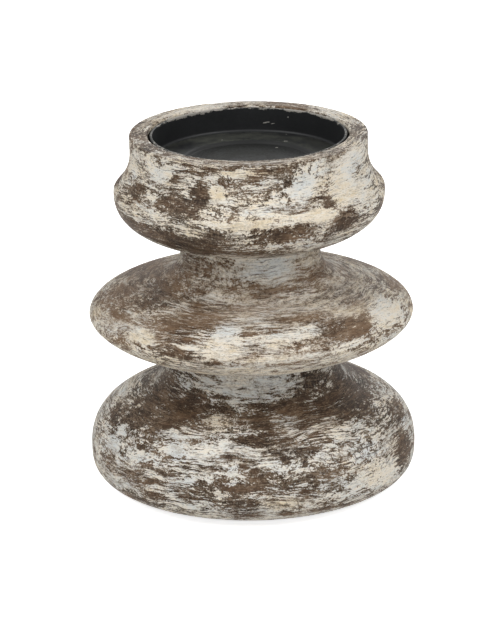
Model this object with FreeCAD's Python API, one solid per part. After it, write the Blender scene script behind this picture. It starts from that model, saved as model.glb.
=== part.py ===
"""A turned wooden holder for one pillar candle, in millimetres, standing on z = 0 and centred on the Z axis.

Three sections are turned on a lathe and stacked: a pebble-shaped base with a wide neck, a thin disc with a
narrower neck, and a bowl with an upright rim. Each neck ends in a short spigot that centres the section
above it. A tie rod runs up the middle and clamps the stack, with a nut and washer in a pocket under the
base and a nut and washer in a pocket in the bowl. A pressed steel dish drops loosely into the bowl's
recess, hides the upper nut and carries the candle. Felt pads lie under the foot.

Every solid but the nuts and pads is turned from a half section, whose points are (radius, height).
"""

import FreeCAD, Part
import math
import os

OUTPUT_FOLDER = "parts"

# Pressed steel dish that carries the candle
CANDLE_BORE_RADIUS = 41.0
DISH_WALL = 1.0
DISH_DEPTH = 10.8
DISH_CORNER_ROUND = 1.2
DISH_LIP_ROUND = 0.4
DISH_LEDGE_WIDTH = 13.0
DISH_STEP = 1.5
DISH_STEP_SLOPE = 45.0
DISH_STEP_ROUND = 1.5

# Bowl: its recess, rim and shoulder, from the dish outwards
RECESS_RADIAL_GAP = 0.9
DISH_BELOW_RIM = 0.6
RIM_WALL = 8.1
RIM_BAND = 8.1
RIM_OUTER_ROUND = 0.7
RIM_INNER_ROUND = 0.6
SHOULDER_OVERHANG = 7.2
SHOULDER_ROUND = 3.0
SHOULDER_SLOPE = 42.0
SHOULDER_STRAIGHT = 2.3
BOWL_DROP = 24.8

# Base and the neck on top of it
BASE_RADIUS = 70.5
BASE_WIDEST_HEIGHT = 15.1
BASE_RISE = 28.3
FOOT_SETBACK = 10.8
LOWER_COVE_RADIUS = 12.2
LOWER_NECK_RADIUS = 37.9
LOWER_NECK_STRAIGHT = 5.3

# Disc, from the same size of blank as the base, and the neck on top of it
DISC_SETBACK = 0.5
DISC_RADIUS = BASE_RADIUS - DISC_SETBACK
DISC_DROP = 19.9
DISC_RISE = 16.3
UPPER_COVE_RADIUS = 13.7
UPPER_NECK_RADIUS = 30.2
UPPER_NECK_STRAIGHT = 4.8

# A flank is a superellipse round a core: the core's radius, then the fullness, which is its exponent
BASE_LOWER_CORE, BASE_LOWER_FULLNESS = 22.5, 3.1
BASE_UPPER_CORE, BASE_UPPER_FULLNESS = 21.6, 2.4
DISC_LOWER_CORE, DISC_LOWER_FULLNESS = 12.4, 1.7
DISC_UPPER_CORE, DISC_UPPER_FULLNESS = 13.6, 2.1
BOWL_LOWER_CORE, BOWL_LOWER_FULLNESS = -11.0, 2.55

# Spigots and their sockets
LOWER_SPIGOT_RADIUS = 22.0
UPPER_SPIGOT_RADIUS = 18.0
SPIGOT_HEIGHT = 7.0
SPIGOT_CHAMFER = 0.8
SOCKET_RADIAL_CLEARANCE = 0.1
SOCKET_END_CLEARANCE = 0.6

# Tie rod with its nuts and washers, M8
ROD_RADIUS = 4.0
ROD_BORE_CLEARANCE = 0.5
ROD_END_CHAMFER = 0.8
ROD_STICK_OUT = 2.5
NUT_WALL = 2.5
NUT_HEIGHT = 6.5
NUT_THREAD_CLEARANCE = 0.05
NUT_CHAMFER_ANGLE = 30.0
WASHER_WIDTH = 7.7
WASHER_THICKNESS = 2.0
WASHER_HOLE_CLEARANCE = 0.3
POCKET_RADIAL_CLEARANCE = 1.5
POCKET_HEADROOM = 2.0

# Felt pads under the foot
PAD_COUNT = 4
PAD_RADIUS = 9.0
PAD_THICKNESS = 1.5
PAD_INSET = 10.0
PAD_FIRST_ANGLE = 45.0


def at(radius, height):
    """A point of the half section, which is drawn in the XZ plane."""
    return FreeCAD.Vector(radius, 0, height)


def arc(start, middle, end):
    return Part.Arc(at(*start), at(*middle), at(*end)).toShape()


def bend(first, corner, last):
    """The arc that leaves first towards the corner and reaches last from it, both as far from the corner."""
    back, ahead = unit(corner, first), unit(corner, last)
    half_angle = math.acos(back[0] * ahead[0] + back[1] * ahead[1]) / 2
    reach = math.hypot(first[0] - corner[0], first[1] - corner[1])
    inward = unit((0, 0), (back[0] + ahead[0], back[1] + ahead[1]))
    nearest = moved(corner, inward, reach * math.tan(half_angle) * (1 / math.sin(half_angle) - 1))
    return arc(first, nearest, last)


def run(corners):
    """Straight edges through the corners. A corner with a third value is rounded to that radius."""
    edges = []
    start = corners[0][:2]
    for corner, following in zip(corners[1:], corners[2:] + [None]):
        place = corner[:2]
        if len(corner) == 2:
            edges.append(Part.LineSegment(at(*start), at(*place)).toShape())
            start = place
            continue
        back, ahead = unit(place, start), unit(place, following)
        trim = corner[2] / math.tan(math.acos(back[0] * ahead[0] + back[1] * ahead[1]) / 2)
        first, last = moved(place, back, trim), moved(place, ahead, trim)
        edges.append(Part.LineSegment(at(*start), at(*first)).toShape())
        edges.append(bend(first, place, last))
        start = last
    return edges


def unit(start, end):
    length = math.hypot(end[0] - start[0], end[1] - start[1])
    return (end[0] - start[0]) / length, (end[1] - start[1]) / length


def moved(point, direction, distance):
    return point[0] + direction[0] * distance, point[1] + direction[1] * distance


def on_circle(centre, radius, angle):
    turn = math.radians(angle)
    return moved(centre, (math.cos(turn), math.sin(turn)), radius)


def turned(edges):
    """The solid turned from a closed half section."""
    wire = Part.Wire(Part.sortEdges(edges)[0])
    return Part.Face(wire).revolve(at(0, 0), FreeCAD.Vector(0, 0, 1), 360).Solids[0]


class Flank:
    """Half of a turned bulge, from its widest circle up (rise > 0) or down (rise < 0) towards its core.

    It is a quarter of a superellipse. A place on it is an angle in radians: 0 at the widest circle and
    pi / 2 where it would reach the core.
    """

    SPANS = 4

    def __init__(self, core, widest, level, rise, fullness):
        self.core, self.widest, self.level = core, widest, level
        self.rise, self.fullness = rise, fullness

    def point(self, angle):
        across, along = math.cos(angle), math.sin(angle)
        size = (across ** self.fullness + along ** self.fullness) ** (1 / self.fullness)
        return self.core + (self.widest - self.core) * across / size, self.level + self.rise * along / size

    def normal(self, angle):
        """The outward unit normal, from the gradient of the superellipse's equation."""
        radius, height = self.point(angle)
        reach, power = self.widest - self.core, self.fullness - 1
        across = (max(radius - self.core, 0) / reach) ** power / reach
        along = (max(height - self.level, self.level - height) / abs(self.rise)) ** power / self.rise
        return unit((0, 0), (across, along))

    def angle_where(self, still_outside):
        """Bisects for the angle at which a test that holds at the widest circle stops holding."""
        low, high = 0.0, math.pi / 2
        for _ in range(50):
            middle = (low + high) / 2
            if still_outside(middle):
                low = middle
            else:
                high = middle
        return low

    def angle_at_radius(self, radius):
        return self.angle_where(lambda angle: self.point(angle)[0] > radius)

    def tangent(self, angle):
        across, along = self.normal(angle)
        return -abs(along), math.copysign(across, self.rise)

    def edges(self, last_angle):
        """The curve from the widest circle to an angle, as pairs of arcs that keep its true tangents."""
        edges = []
        for step in range(self.SPANS):
            places = (last_angle * step / self.SPANS, last_angle * (step + 1) / self.SPANS)
            start, end = [self.point(place) for place in places]
            leaving, arriving = [self.tangent(place) for place in places]
            chord = (end[0] - start[0], end[1] - start[1])
            advance = chord[0] * (leaving[0] + arriving[0]) + chord[1] * (leaving[1] + arriving[1])
            turning = 2 * (1 - leaving[0] * arriving[0] - leaving[1] * arriving[1])
            reach = (math.sqrt(advance ** 2 + turning * (chord[0] ** 2 + chord[1] ** 2)) - advance) / turning
            first, last = moved(start, leaving, reach), moved(end, arriving, -reach)
            middle = ((first[0] + last[0]) / 2, (first[1] + last[1]) / 2)
            edges += [bend(start, first, middle), bend(middle, last, end)]
        return edges

    def into_neck(self, neck_radius, cove_radius):
        """The flank and the cove that runs from it into an upright neck, and where the cove ends."""

        def cove_centre(angle):
            return moved(self.point(angle), self.normal(angle), cove_radius)

        angle = self.angle_where(lambda place: cove_centre(place)[0] > neck_radius + cove_radius)
        centre = cove_centre(angle)
        start, end = self.point(angle), (neck_radius, centre[1])
        towards_flank, towards_neck = unit(centre, start), unit(centre, end)
        bisector = unit((0, 0), (towards_flank[0] + towards_neck[0], towards_flank[1] + towards_neck[1]))
        cove = arc(start, moved(centre, bisector, cove_radius), end)
        return self.edges(angle) + [cove], end


# The stack, from the foot up: each section sits on the neck below it
FOOT_LEVEL = PAD_THICKNESS
FOOT_RADIUS = BASE_RADIUS - FOOT_SETBACK
BASE_LEVEL = FOOT_LEVEL + BASE_WIDEST_HEIGHT
FOOT_SHARE = (FOOT_RADIUS - BASE_LOWER_CORE) / (BASE_RADIUS - BASE_LOWER_CORE)
BASE_DROP = BASE_WIDEST_HEIGHT / (1 - FOOT_SHARE ** BASE_LOWER_FULLNESS) ** (1 / BASE_LOWER_FULLNESS)
BASE_LOWER = Flank(BASE_LOWER_CORE, BASE_RADIUS, BASE_LEVEL, -BASE_DROP, BASE_LOWER_FULLNESS)
BASE_UPPER = Flank(BASE_UPPER_CORE, BASE_RADIUS, BASE_LEVEL, BASE_RISE, BASE_UPPER_FULLNESS)
BASE_UPPER_EDGES, LOWER_NECK_START = BASE_UPPER.into_neck(LOWER_NECK_RADIUS, LOWER_COVE_RADIUS)
DISC_SEAT_LEVEL = LOWER_NECK_START[1] + LOWER_NECK_STRAIGHT


def lower_flank_on_seat(core, widest, drop, fullness, seat_radius, seat_level):
    """A section's underside, at the height that puts its circle of the neck's radius on the seat."""
    loose = Flank(core, widest, 0, -drop, fullness)
    level = seat_level - loose.point(loose.angle_at_radius(seat_radius))[1]
    return Flank(core, widest, level, -drop, fullness)


DISC_LOWER = lower_flank_on_seat(
    DISC_LOWER_CORE, DISC_RADIUS, DISC_DROP, DISC_LOWER_FULLNESS, LOWER_NECK_RADIUS, DISC_SEAT_LEVEL
)
DISC_UPPER = Flank(DISC_UPPER_CORE, DISC_RADIUS, DISC_LOWER.level, DISC_RISE, DISC_UPPER_FULLNESS)
DISC_UPPER_EDGES, UPPER_NECK_START = DISC_UPPER.into_neck(UPPER_NECK_RADIUS, UPPER_COVE_RADIUS)
BOWL_SEAT_LEVEL = UPPER_NECK_START[1] + UPPER_NECK_STRAIGHT

# The bowl, from the dish outwards
DISH_OUTER_RADIUS = CANDLE_BORE_RADIUS + DISH_WALL
RECESS_RADIUS = DISH_OUTER_RADIUS + RECESS_RADIAL_GAP
RIM_RADIUS = RECESS_RADIUS + RIM_WALL
BOWL_RADIUS = RIM_RADIUS + SHOULDER_OVERHANG
BOWL_LOWER = lower_flank_on_seat(
    BOWL_LOWER_CORE, BOWL_RADIUS, BOWL_DROP, BOWL_LOWER_FULLNESS, UPPER_NECK_RADIUS, BOWL_SEAT_LEVEL
)
SHOULDER_CENTRE = (BOWL_RADIUS - SHOULDER_ROUND, BOWL_LOWER.level)
SLOPE_START = on_circle(SHOULDER_CENTRE, SHOULDER_ROUND, SHOULDER_SLOPE)
SLOPE_END = moved(SLOPE_START, on_circle((0, 0), 1, 90 + SHOULDER_SLOPE), SHOULDER_STRAIGHT)
RIM_COVE_RADIUS = (SLOPE_END[0] - RIM_RADIUS) / (1 - math.cos(math.radians(SHOULDER_SLOPE)))
RIM_COVE_CENTRE = moved(SLOPE_END, on_circle((0, 0), 1, SHOULDER_SLOPE), RIM_COVE_RADIUS)
RIM_LEVEL = RIM_COVE_CENTRE[1] + RIM_BAND

# The dish hangs its levels from the rim, and the recess's floor carries it
LEDGE_LEVEL = RIM_LEVEL - DISH_BELOW_RIM - DISH_DEPTH
DISH_FLOOR_LEVEL = LEDGE_LEVEL - DISH_STEP
RECESS_LEVEL = DISH_FLOOR_LEVEL - DISH_WALL

# The tie rod's bore and pockets
ROD_BORE_RADIUS = ROD_RADIUS + ROD_BORE_CLEARANCE
WASHER_HOLE_RADIUS = ROD_RADIUS + WASHER_HOLE_CLEARANCE
WASHER_RADIUS = WASHER_HOLE_RADIUS + WASHER_WIDTH
POCKET_RADIUS = WASHER_RADIUS + POCKET_RADIAL_CLEARANCE
POCKET_DEPTH = WASHER_THICKNESS + NUT_HEIGHT + ROD_STICK_OUT + POCKET_HEADROOM
LOWER_POCKET_LEVEL = FOOT_LEVEL + POCKET_DEPTH
UPPER_POCKET_LEVEL = RECESS_LEVEL - POCKET_DEPTH


def spigot_outline(neck_start, seat_level, spigot_radius):
    """Up the neck to the seat of the section above, in to the spigot, up it and in to the bore."""
    top = seat_level + SPIGOT_HEIGHT
    return [
        neck_start,
        (neck_start[0], seat_level),
        (spigot_radius, seat_level),
        (spigot_radius, top - SPIGOT_CHAMFER),
        (spigot_radius - SPIGOT_CHAMFER, top),
        (ROD_BORE_RADIUS, top),
    ]


def socket_outline(neck_radius, seat_level, spigot_radius):
    """Out from the bore along the socket's end, down its wall and out along the seat to the flank."""
    socket_radius = spigot_radius + SOCKET_RADIAL_CLEARANCE
    socket_end = seat_level + SPIGOT_HEIGHT + SOCKET_END_CLEARANCE
    return [
        (ROD_BORE_RADIUS, socket_end),
        (socket_radius, socket_end),
        (socket_radius, seat_level),
        (neck_radius, seat_level),
    ]


def base_section():
    inside = [
        (ROD_BORE_RADIUS, LOWER_POCKET_LEVEL),
        (POCKET_RADIUS, LOWER_POCKET_LEVEL),
        (POCKET_RADIUS, FOOT_LEVEL),
        (FOOT_RADIUS, FOOT_LEVEL),
    ]
    foot = BASE_LOWER.edges(BASE_LOWER.angle_at_radius(FOOT_RADIUS))
    neck = spigot_outline(LOWER_NECK_START, DISC_SEAT_LEVEL, LOWER_SPIGOT_RADIUS)
    return turned(foot + BASE_UPPER_EDGES + run(neck + inside))


def disc_section():
    under = DISC_LOWER.edges(DISC_LOWER.angle_at_radius(LOWER_NECK_RADIUS))
    neck = spigot_outline(UPPER_NECK_START, BOWL_SEAT_LEVEL, UPPER_SPIGOT_RADIUS)
    socket = socket_outline(LOWER_NECK_RADIUS, DISC_SEAT_LEVEL, LOWER_SPIGOT_RADIUS)
    return turned(under + DISC_UPPER_EDGES + run(neck + socket))


def bowl_section():
    under = BOWL_LOWER.edges(BOWL_LOWER.angle_at_radius(UPPER_NECK_RADIUS))
    shoulder = arc(
        on_circle(SHOULDER_CENTRE, SHOULDER_ROUND, 0),
        on_circle(SHOULDER_CENTRE, SHOULDER_ROUND, SHOULDER_SLOPE / 2),
        SLOPE_START,
    )
    rim_start = on_circle(RIM_COVE_CENTRE, RIM_COVE_RADIUS, 180)
    cove_middle = on_circle(RIM_COVE_CENTRE, RIM_COVE_RADIUS, 180 + SHOULDER_SLOPE / 2)
    slope = run([SLOPE_START, SLOPE_END])
    rim_and_inside = [
        rim_start,
        (RIM_RADIUS, RIM_LEVEL, RIM_OUTER_ROUND),
        (RECESS_RADIUS, RIM_LEVEL, RIM_INNER_ROUND),
        (RECESS_RADIUS, RECESS_LEVEL),
        (POCKET_RADIUS, RECESS_LEVEL),
        (POCKET_RADIUS, UPPER_POCKET_LEVEL),
        (ROD_BORE_RADIUS, UPPER_POCKET_LEVEL),
    ]
    socket = socket_outline(UPPER_NECK_RADIUS, BOWL_SEAT_LEVEL, UPPER_SPIGOT_RADIUS)
    cove = arc(SLOPE_END, cove_middle, rim_start)
    return turned(under + [shoulder] + slope + [cove] + run(rim_and_inside + socket))


def candle_dish():
    """A pan pressed from sheet: an upright wall, a ledge round the floor and a step down to the middle.

    Its underside is the same line as its inside, moved out by the sheet's thickness. A corner of a bent
    sheet moves sideways by the tangent of half the bend, and inside and outside rounds share a centre.
    """
    step_top = (CANDLE_BORE_RADIUS - DISH_LEDGE_WIDTH, LEDGE_LEVEL)
    step_run = DISH_STEP / math.tan(math.radians(DISH_STEP_SLOPE))
    step_foot = (step_top[0] - step_run, DISH_FLOOR_LEVEL)
    shift = DISH_WALL * math.tan(math.radians(DISH_STEP_SLOPE / 2))
    tight, wide = DISH_STEP_ROUND, DISH_STEP_ROUND + DISH_WALL
    lip = RIM_LEVEL - DISH_BELOW_RIM
    return turned(run([
        (0, DISH_FLOOR_LEVEL),
        (*step_foot, tight),
        (*step_top, wide),
        (CANDLE_BORE_RADIUS, LEDGE_LEVEL, DISH_CORNER_ROUND),
        (CANDLE_BORE_RADIUS, lip, DISH_LIP_ROUND),
        (DISH_OUTER_RADIUS, lip, DISH_LIP_ROUND),
        (DISH_OUTER_RADIUS, LEDGE_LEVEL - DISH_WALL, DISH_CORNER_ROUND + DISH_WALL),
        (step_top[0] + shift, LEDGE_LEVEL - DISH_WALL, tight),
        (step_foot[0] + shift, RECESS_LEVEL, wide),
        (0, RECESS_LEVEL),
        (0, DISH_FLOOR_LEVEL),
    ]))


def tie_rod():
    nut_and_end = WASHER_THICKNESS + NUT_HEIGHT + ROD_STICK_OUT
    bottom = LOWER_POCKET_LEVEL - nut_and_end
    top = UPPER_POCKET_LEVEL + nut_and_end
    return turned(run([
        (0, bottom),
        (ROD_RADIUS - ROD_END_CHAMFER, bottom),
        (ROD_RADIUS, bottom + ROD_END_CHAMFER),
        (ROD_RADIUS, top - ROD_END_CHAMFER),
        (ROD_RADIUS - ROD_END_CHAMFER, top),
        (0, top),
        (0, bottom),
    ]))


def washer(level):
    return turned(run([
        (WASHER_HOLE_RADIUS, level),
        (WASHER_RADIUS, level),
        (WASHER_RADIUS, level + WASHER_THICKNESS),
        (WASHER_HOLE_RADIUS, level + WASHER_THICKNESS),
        (WASHER_HOLE_RADIUS, level),
    ]))


def nut(level):
    """A hexagon whose corners are turned off at the chamfer's angle, at both faces."""
    flat_radius = ROD_RADIUS + NUT_WALL
    corner_radius = flat_radius / math.cos(math.pi / 6)
    top = level + NUT_HEIGHT
    corners = []
    for index in range(7):
        across, along = on_circle((0, 0), corner_radius, 60 * index)
        corners.append(FreeCAD.Vector(across, along, level))
    prism = Part.Face(Part.makePolygon(corners)).extrude(FreeCAD.Vector(0, 0, NUT_HEIGHT))
    cone_radius = flat_radius + NUT_HEIGHT / 2 / math.tan(math.radians(NUT_CHAMFER_ANGLE))
    cones = turned(run([
        (0, level),
        (flat_radius, level),
        (cone_radius, level + NUT_HEIGHT / 2),
        (flat_radius, top),
        (0, top),
        (0, level),
    ]))
    bore = Part.makeCylinder(ROD_RADIUS + NUT_THREAD_CLEARANCE, NUT_HEIGHT, at(0, level))
    return prism.common(cones).cut(bore).Solids[0]


def felt_pad(index):
    ring_radius = FOOT_RADIUS - PAD_INSET - PAD_RADIUS
    across, along = on_circle((0, 0), ring_radius, PAD_FIRST_ANGLE + 360 / PAD_COUNT * index)
    return Part.makeCylinder(PAD_RADIUS, PAD_THICKNESS, FreeCAD.Vector(across, along, 0))


def main():
    nodes = {
        "base_section": base_section(),
        "disc_section": disc_section(),
        "bowl_section": bowl_section(),
        "candle_dish": candle_dish(),
        "tie_rod": tie_rod(),
        "lower_washer": washer(LOWER_POCKET_LEVEL - WASHER_THICKNESS),
        "lower_nut": nut(LOWER_POCKET_LEVEL - WASHER_THICKNESS - NUT_HEIGHT),
        "upper_washer": washer(UPPER_POCKET_LEVEL),
        "upper_nut": nut(UPPER_POCKET_LEVEL + WASHER_THICKNESS),
    }
    for index in range(PAD_COUNT):
        nodes["felt_pad_{}".format(index + 1)] = felt_pad(index)
    os.makedirs(OUTPUT_FOLDER, exist_ok=True)
    for name, solid in nodes.items():
        solid.exportStep(os.path.join(OUTPUT_FOLDER, name + ".step"))


main()
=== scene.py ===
import math
import random

import bpy
import numpy
from mathutils import Matrix, Vector


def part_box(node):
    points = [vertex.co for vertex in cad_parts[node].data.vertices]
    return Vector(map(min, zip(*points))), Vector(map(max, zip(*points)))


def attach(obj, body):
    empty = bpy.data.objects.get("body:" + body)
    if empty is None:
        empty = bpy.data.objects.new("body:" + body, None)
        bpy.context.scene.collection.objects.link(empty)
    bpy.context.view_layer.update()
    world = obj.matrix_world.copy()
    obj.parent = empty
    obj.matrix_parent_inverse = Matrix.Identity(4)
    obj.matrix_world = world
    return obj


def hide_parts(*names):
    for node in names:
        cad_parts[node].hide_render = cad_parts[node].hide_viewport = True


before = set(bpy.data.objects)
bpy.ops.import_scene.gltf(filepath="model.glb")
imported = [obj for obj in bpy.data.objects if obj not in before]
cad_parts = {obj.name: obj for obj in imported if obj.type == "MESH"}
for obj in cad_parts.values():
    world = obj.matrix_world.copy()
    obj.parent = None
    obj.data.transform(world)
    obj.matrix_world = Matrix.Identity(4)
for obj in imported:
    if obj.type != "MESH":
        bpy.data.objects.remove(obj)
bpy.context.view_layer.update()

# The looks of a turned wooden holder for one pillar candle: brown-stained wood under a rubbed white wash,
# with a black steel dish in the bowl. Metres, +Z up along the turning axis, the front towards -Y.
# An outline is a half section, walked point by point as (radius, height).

MM = 0.001

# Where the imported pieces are
(_, _, FOOT), (BASE_RADIUS, _, LOWER_SPIGOT_TOP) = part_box("base_section")
(_, _, DISC_SEAT), (DISC_RADIUS, _, UPPER_SPIGOT_TOP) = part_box("disc_section")
(_, _, BOWL_SEAT), (BOWL_RADIUS, _, RIM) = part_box("bowl_section")
(_, _, DISH_BOTTOM), (DISH_RADIUS, _, DISH_TOP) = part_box("candle_dish")
(_, _, ROD_BOTTOM), (ROD_RADIUS, _, ROD_TOP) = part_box("tie_rod")
(PAD_START, _, _), (PAD_END, _, _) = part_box("felt_pad_1")
PAD_COUNT = 4
PAD_RADIUS = (PAD_END - PAD_START) / 2
PAD_RING = (PAD_END - PAD_RADIUS) * math.sqrt(2)

# Turned outline
BASE_WIDEST = FOOT + 15.1 * MM
BASE_DROP = 18.3 * MM
BASE_RISE = 28.3 * MM
FOOT_SETBACK = 10.8 * MM
LOWER_NECK = 37.9 * MM
LOWER_COVE = 12.2 * MM
DISC_DROP = 19.9 * MM
DISC_RISE = 16.3 * MM
UPPER_NECK = 30.2 * MM
UPPER_COVE = 13.7 * MM
BOWL_DROP = 24.8 * MM
FOOT_FLAT_INSET = 1.5 * MM
FOOT_EASE_INSET = 0.5 * MM
FOOT_EASE_LIFT = 0.1 * MM
SHOULDER_OVERHANG = 7.2 * MM
SHOULDER_ROUND = 3.0 * MM
SHOULDER_SLOPE = math.radians(42)
SHOULDER_STRAIGHT = 2.3 * MM
RIM_WALL = 8.1 * MM
RIM_ROUND = 0.7 * MM
WASHED_LIP = 1.0 * MM
LOWER_SPIGOT = 22.0 * MM
UPPER_SPIGOT = 18.0 * MM
SOCKET_ROOM = 0.1 * MM
SOCKET_END_ROOM = 0.6 * MM
ROD_BORE = 4.5 * MM
POCKET_RADIUS = 13.5 * MM
POCKET_DEPTH = 13.0 * MM
ROD_THREAD = 16.0 * MM
ROD_BEVEL = 0.8 * MM

# Core radius and fullness of each flank
BASE_LOWER_FLANK = (22.5 * MM, 3.1)
BASE_UPPER_FLANK = (21.6 * MM, 2.4)
DISC_LOWER_FLANK = (12.4 * MM, 1.7)
DISC_UPPER_FLANK = (13.6 * MM, 2.1)
BOWL_LOWER_FLANK = (-11.0 * MM, 2.55)

# Pressed dish
DISH_WALL = 1.0 * MM
DISH_LEDGE_WIDTH = 13.0 * MM
DISH_STEP = 1.5 * MM
DISH_CORNER = 1.2 * MM
DISH_STEP_ROUND = 1.5 * MM
DISH_LIP_ROUND = 0.4 * MM

# How finely outlines are walked
SHOWN_STEP = 0.95 * MM
STRAIGHT_STEP = 1.5 * MM
RIM_STEP = 0.5 * MM
ROUND_STEP = 0.4 * MM
THREAD_STEP = 0.2 * MM
SHANK_STEP = 5.0 * MM
HIDDEN_STEP = 4.0 * MM
WOOD_FACETS = 480
DISH_FACETS = 360
PAD_FACETS = 96
ROD_FACETS = 48

# The kinds of node that are used most
MATH = "ShaderNodeMath"
VECTOR_MATH = "ShaderNodeVectorMath"
MAP_RANGE = "ShaderNodeMapRange"
COMBINE = "ShaderNodeCombineXYZ"
SEPARATE = "ShaderNodeSeparateXYZ"


def add(tree, kind, settings):
    """Adds a node. A setting is a property, or an input by its name or number: a value, a socket, or a node
    whose first output in use is linked. The stops of a colour ramp are pairs of a place and a hex colour."""
    node = tree.nodes.new(kind)
    for key, value in settings.items():
        if key == "stops":
            for number, (place, code) in enumerate(value):
                elements = node.color_ramp.elements
                stop = elements[number] if number < 2 else elements.new(place)
                stop.position, stop.color = place, colour(code)
            continue
        if isinstance(key, str) and hasattr(node, key):
            setattr(node, key, value)
            continue
        if isinstance(value, bpy.types.Node):
            value = next(output for output in value.outputs if output.enabled)
        if isinstance(value, bpy.types.NodeSocket):
            tree.links.new(value, node.inputs[key])
        else:
            node.inputs[key].default_value = value
    return node


def keep_attribute(mesh, name, values):
    """Keeps a number, or a vector, for each vertex."""
    values = numpy.asarray(values, "f")
    kind, held = ("FLOAT", "value") if values.ndim == 1 else ("FLOAT_VECTOR", "vector")
    mesh.attributes.new(name, kind, "POINT").data.foreach_set(held, values.ravel())


# ---------------------------------------------------------------- outlines


def evened(points, step):
    """The same path with its points evenly spread, no further apart than a step."""
    points = numpy.asarray(points, float)
    lengths = numpy.hypot(*numpy.diff(points, axis=0).T)
    walked = numpy.concatenate(([0.0], numpy.cumsum(lengths)))
    count = max(1, math.ceil(walked[-1] / step)) + 1
    places = numpy.linspace(0, walked[-1], count)
    return numpy.column_stack([numpy.interp(places, walked, column) for column in points.T])


def flank(form, widest, level, rise, last_radius):
    """A quarter of a superellipse, from the widest circle to a radius nearer its core. A form is its core's
    radius and its fullness."""
    core, fullness = form
    angle = numpy.linspace(0, math.pi / 2, 900)
    across, along = numpy.cos(angle), numpy.sin(angle)
    size = (across ** fullness + along ** fullness) ** (1 / fullness)
    radius = core + (widest - core) * across / size
    height = level + rise * along / size
    kept = radius > last_radius
    end = (last_radius, numpy.interp(last_radius, radius[::-1], height[::-1]))
    return numpy.vstack((numpy.column_stack((radius, height))[kept], end))


def underside(form, widest, drop, seat_radius, seat):
    """A section's lower flank, from the seat out to its widest circle."""
    loose = flank(form, widest, 0.0, -drop, seat_radius)
    return (loose + (0.0, seat - loose[-1][1]))[::-1]


def cove_to_neck(rising, neck, cove):
    """A rising flank, the cove that meets it and an upright neck without a corner."""
    along = numpy.gradient(rising, axis=0)
    lengths = numpy.hypot(along[:, 0], along[:, 1])
    normals = numpy.column_stack((along[:, 1], -along[:, 0])) / lengths[:, None]
    centres = rising + normals * cove
    touch = int(numpy.argmax(centres[:, 0] <= neck + cove))
    centre, start = centres[touch], rising[touch]
    first = math.atan2(start[1] - centre[1], start[0] - centre[0])
    turn = numpy.linspace(first, -math.pi, 60)
    curve = numpy.column_stack((neck + cove + cove * numpy.cos(turn), centre[1] + cove * numpy.sin(turn)))
    return numpy.vstack((rising[:touch], curve))


def eased(points, radii):
    """A path whose inner corners are rounded, each to its own radius."""
    points = [numpy.array(point, float) for point in points]
    path = [points[0]]
    for before, corner, after, radius in zip(points, points[1:], points[2:], radii):
        back = (before - corner) / numpy.linalg.norm(before - corner)
        ahead = (after - corner) / numpy.linalg.norm(after - corner)
        half = math.acos(max(-1.0, min(1.0, float(back @ ahead)))) / 2
        inward = (back + ahead) / numpy.linalg.norm(back + ahead)
        centre = corner + inward * radius / math.sin(half)
        first, last = corner + back * radius / math.tan(half), corner + ahead * radius / math.tan(half)
        for share in numpy.linspace(0, 1, 9):
            towards = (first - centre) * (1 - share) + (last - centre) * share
            path.append(centre + towards * radius / numpy.linalg.norm(towards))
    return numpy.array(path + [points[-1]])


class Outline:
    """A half section, with what its material wants to know at each point."""

    def __init__(self):
        self.points = numpy.empty((0, 2))
        self.bare = []
        self.corners = []

    def walk(self, points, step=SHOWN_STEP, bare=0.0):
        """Goes on along the points. Bare work is wood that the wash never reached."""
        fresh = evened(points, step)
        if len(self.points) and numpy.allclose(fresh[0], self.points[-1], atol=0.01 * MM):
            fresh = fresh[1:]
        self.points = numpy.vstack((self.points, fresh))
        self.bare += [bare] * len(fresh)

    def walk_corners(self, points, step=SHOWN_STEP, bare=0.0):
        """Goes on straight from corner to corner, with a point on each."""
        for ends in zip(points, points[1:]):
            self.walk(ends, step, bare)

    def mesh(self, name):
        """The outline as loose vertices, which carry its length so far, bareness and nearness to corners."""
        steps = numpy.hypot(*numpy.diff(self.points, axis=0).T)
        nearness = numpy.zeros(len(self.points))
        for corner, spread in self.corners:
            away = numpy.hypot(*(self.points - corner).T)
            nearness = numpy.maximum(nearness, numpy.exp(-((away / spread) ** 2)))
        mesh = bpy.data.meshes.new(name)
        mesh.from_pydata([(radius, 0.0, height) for radius, height in self.points], [], [])
        keep_attribute(mesh, "along", numpy.concatenate(([0.0], numpy.cumsum(steps))))
        keep_attribute(mesh, "bare", self.bare)
        keep_attribute(mesh, "edge", nearness)
        return mesh


def spigot_work(neck, spigot, seat, top):
    return [(neck, seat), (spigot, seat), (spigot, top), (ROD_BORE, top)]


def socket_work(neck, spigot, seat, spigot_top):
    end = spigot_top + SOCKET_END_ROOM
    return [(ROD_BORE, end), (spigot + SOCKET_ROOM, end), (spigot + SOCKET_ROOM, seat), (neck, seat)]


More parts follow.
